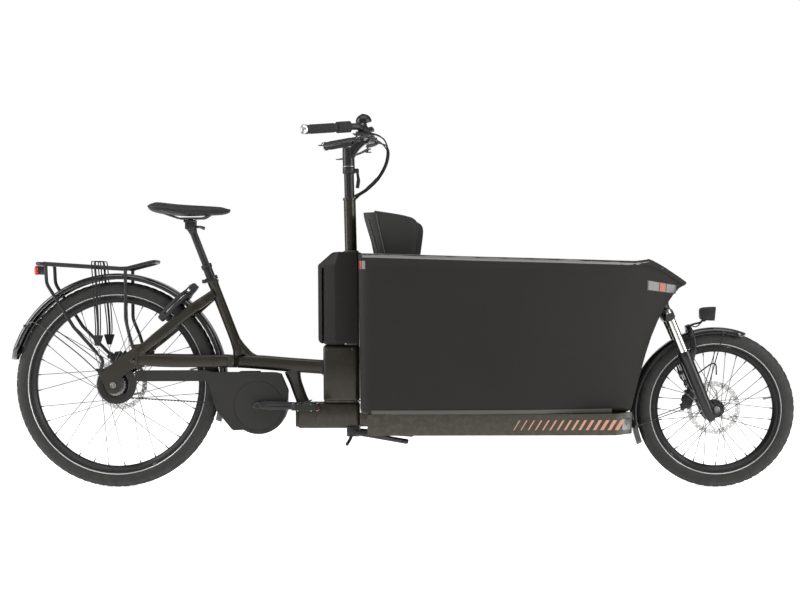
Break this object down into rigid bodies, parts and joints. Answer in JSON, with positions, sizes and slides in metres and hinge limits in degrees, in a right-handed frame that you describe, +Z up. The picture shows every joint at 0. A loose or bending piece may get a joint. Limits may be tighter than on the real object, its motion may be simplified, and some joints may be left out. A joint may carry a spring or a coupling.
{
  "type": "cargo bicycle",
  "caption": "Front-loading electric cargo bicycle with a moulded tub ahead of the rider, a small front wheel, belt drive, rear rack and a child seat in the tub.",
  "frame": {"origin": "on the ground, below the middle of the bicycle's length and width", "axes": "+X forward, +Y to the rider's left, +Z up"},
  "size_m": [2.665, 0.6776, 1.2544],
  "materials": {
    "frame_paint": "satin metallic",
    "platform_paint": "satin metallic",
    "tub_plastic": "fine grain, matte",
    "black_plastic": "matte",
    "gloss_black": "gloss",
    "black_metal": "black anodised",
    "steel": "brushed",
    "rim_alloy": "black anodised",
    "hub_alloy": "black anodised",
    "tyre": "matte tread",
    "rubber": "matte",
    "saddle_cover": "soft touch",
    "seat_fabric": "woven",
    "red_lens": "clear gloss"
  },
  "bodies": {
    "frame": {"rear_triangle": "frame_paint", "seat_tube": "frame_paint", "main_beam": "frame_paint", "column_frame": "frame_paint", "cargo_platform": "platform_paint", "front_neck": "frame_paint", "drive_unit": "black_metal", "motor_cover": "black_plastic", "battery_pack": "black_plastic", "battery_cover": "tub_plastic", "seat_clamp": "black_metal", "luggage_rack": "black_metal", "tail_light": "red_lens", "luggage_strap": "rubber", "rear_fender": "gloss_black", "frame_lock": "black_plastic", "rear_caliper": "black_metal", "rear_axle": "black_metal", "cargo_tub": "tub_plastic", "child_seat": "seat_fabric", "seat_pad": "seat_fabric", "drive_belt": "rubber"},
    "rear_wheel": {"rear_tyre": "tyre", "rear_rim": "rim_alloy", "rear_hub_and_spokes": "hub_alloy", "rear_brake_disc": "steel"},
    "rear_sprocket": {"rear_sprocket": "steel"},
    "belt_idler": {"belt_idler": "black_plastic"},
    "crank": {"crankset": "black_metal"},
    "right_pedal": {"right_pedal": "black_plastic"},
    "left_pedal": {"left_pedal": "black_plastic"},
    "kickstand": {"kickstand": "black_metal"},
    "seat_clamp_lever": {"seat_clamp_lever": "black_metal"},
    "seatpost": {"seatpost": "black_metal"},
    "saddle": {"dropper_stanchion": "black_metal", "saddle": "saddle_cover"},
    "lock_shackle": {"lock_shackle": "steel"},
    "fork": {"fork_crown": "black_metal"},
    "fork_lowers": {"fork_lowers": "black_metal", "front_fender": "gloss_black", "headlight": "black_plastic", "front_caliper": "black_metal", "front_axle": "black_metal"},
    "front_wheel": {"front_tyre": "tyre", "front_rim": "rim_alloy", "front_hub_and_spokes": "hub_alloy", "front_brake_disc": "steel"},
    "steering_post": {"steering_post": "black_metal"},
    "stem_lever": {"stem_lever": "black_metal"},
    "handlebar": {"stem": "black_metal", "handlebar": "black_metal", "left_grip": "rubber", "right_grip": "rubber", "bell": "steel", "display": "black_plastic", "cable_bundle": "rubber"},
    "twist_shifter": {"twist_shifter": "rubber"},
    "left_brake_lever": {"left_brake_lever": "black_metal"},
    "right_brake_lever": {"right_brake_lever": "black_metal"},
    "bell_lever": {"bell_lever": "black_plastic"}
  },
  "joints": [
    {"name": "rear_wheel_spin", "type": "hinge", "parent": "frame", "child": "rear_wheel", "pos_m": [-0.962, 0, 0.352], "axis": [0, 1, 0], "continuous": true},
    {"name": "rear_sprocket_spin", "type": "hinge", "parent": "frame", "child": "rear_sprocket", "pos_m": [-0.962, 0, 0.352], "axis": [0, 1, 0], "continuous": true},
    {"name": "belt_idler_spin", "type": "hinge", "parent": "frame", "child": "belt_idler", "pos_m": [-0.59, 0, 0.2735], "axis": [0, 1, 0], "continuous": true},
    {"name": "crank_spin", "type": "hinge", "parent": "frame", "child": "crank", "pos_m": [-0.468, 0, 0.281], "axis": [0, 1, 0], "continuous": true},
    {"name": "right_pedal_spin", "type": "hinge", "parent": "crank", "child": "right_pedal", "pos_m": [-0.298, -0.084, 0.281], "axis": [0, 1, 0], "continuous": true},
    {"name": "left_pedal_spin", "type": "hinge", "parent": "crank", "child": "left_pedal", "pos_m": [-0.638, 0.084, 0.281], "axis": [0, 1, 0], "continuous": true},
    {"name": "kickstand_fold", "type": "hinge", "parent": "frame", "child": "kickstand", "pos_m": [-0.15, 0, 0.188], "axis": [0, 1, 0], "range_deg": [0, 100]},
    {"name": "seat_clamp_lever_swing", "type": "hinge", "parent": "frame", "child": "seat_clamp_lever", "pos_m": [-0.66031, -0.0218, 0.70235], "axis": [0, 0, -1], "range_deg": [0, 150]},
    {"name": "seatpost_height", "type": "slide", "parent": "frame", "child": "seatpost", "axis": [-0.36, 0, 0.933], "range_m": [-0.03, 0.08]},
    {"name": "dropper_travel", "type": "slide", "parent": "seatpost", "child": "saddle", "axis": [-0.36, 0, 0.933], "range_m": [-0.1, 0]},
    {"name": "lock_shackle_turn", "type": "hinge", "parent": "frame", "child": "lock_shackle", "pos_m": [-0.762, 0, 0.618], "axis": [0.7071, 0, -0.7071], "range_deg": [0, 80]},
    {"name": "handlebar_steer", "type": "hinge", "parent": "frame", "child": "steering_post", "pos_m": [-0.156, 0, 0.807], "axis": [-0.0201, 0, 0.9998], "range_deg": [-30, 30]},
    {"name": "fork_steer", "type": "hinge", "parent": "frame", "child": "fork", "pos_m": [0.89901, 0, 0.61003], "axis": [-0.3746, 0, 0.9272], "range_deg": [-30, 30]},
    {"name": "fork_travel", "type": "slide", "parent": "fork", "child": "fork_lowers", "axis": [-0.3746, 0, 0.9272], "range_m": [0, 0.035], "stiffness_N_per_m": 14000, "springref_m": -0.04},
    {"name": "front_wheel_spin", "type": "hinge", "parent": "fork_lowers", "child": "front_wheel", "pos_m": [1.0705, 0, 0.263], "axis": [0, 1, 0], "continuous": true},
    {"name": "stem_height", "type": "slide", "parent": "steering_post", "child": "handlebar", "axis": [-0.0201, 0, 0.9998], "range_m": [0, 0.06], "deforming": ["cable_bundle"]},
    {"name": "stem_lever_swing", "type": "hinge", "parent": "steering_post", "child": "stem_lever", "pos_m": [-0.13442, 0.0168, 1.0763], "axis": [1, 0, 0], "range_deg": [0, 150]},
    {"name": "shifter_twist", "type": "hinge", "parent": "handlebar", "child": "twist_shifter", "pos_m": [-0.17, -0.262, 1.2], "axis": [-0.8659, -0.4914, -0.0936], "range_deg": [-90, 90]},
    {"name": "left_brake_pull", "type": "hinge", "parent": "handlebar", "child": "left_brake_lever", "pos_m": [-0.115, 0.233, 1.168], "axis": [0.4651, 0.8852, 0], "range_deg": [0, 12], "stiffness_Nm_per_rad": 2, "springref_deg": -11.46},
    {"name": "right_brake_pull", "type": "hinge", "parent": "handlebar", "child": "right_brake_lever", "pos_m": [-0.115, -0.233, 1.168], "axis": [-0.4651, 0.8852, 0], "range_deg": [0, 12], "stiffness_Nm_per_rad": 2, "springref_deg": -11.46},
    {"name": "bell_lever_push", "type": "hinge", "parent": "handlebar", "child": "bell_lever", "pos_m": [-0.1065, -0.15, 1.2177], "axis": [0, 0, 1], "range_deg": [0, 25], "stiffness_Nm_per_rad": 0.05, "springref_deg": -11.46}
  ],
  "couplings": [
    {"joint": "rear_sprocket_spin", "follows": "crank_spin", "ratio": 2.2727},
    {"joint": "belt_idler_spin", "follows": "crank_spin", "ratio": -6.7335},
    {"joint": "fork_steer", "follows": "handlebar_steer", "ratio": 1}
  ]
}
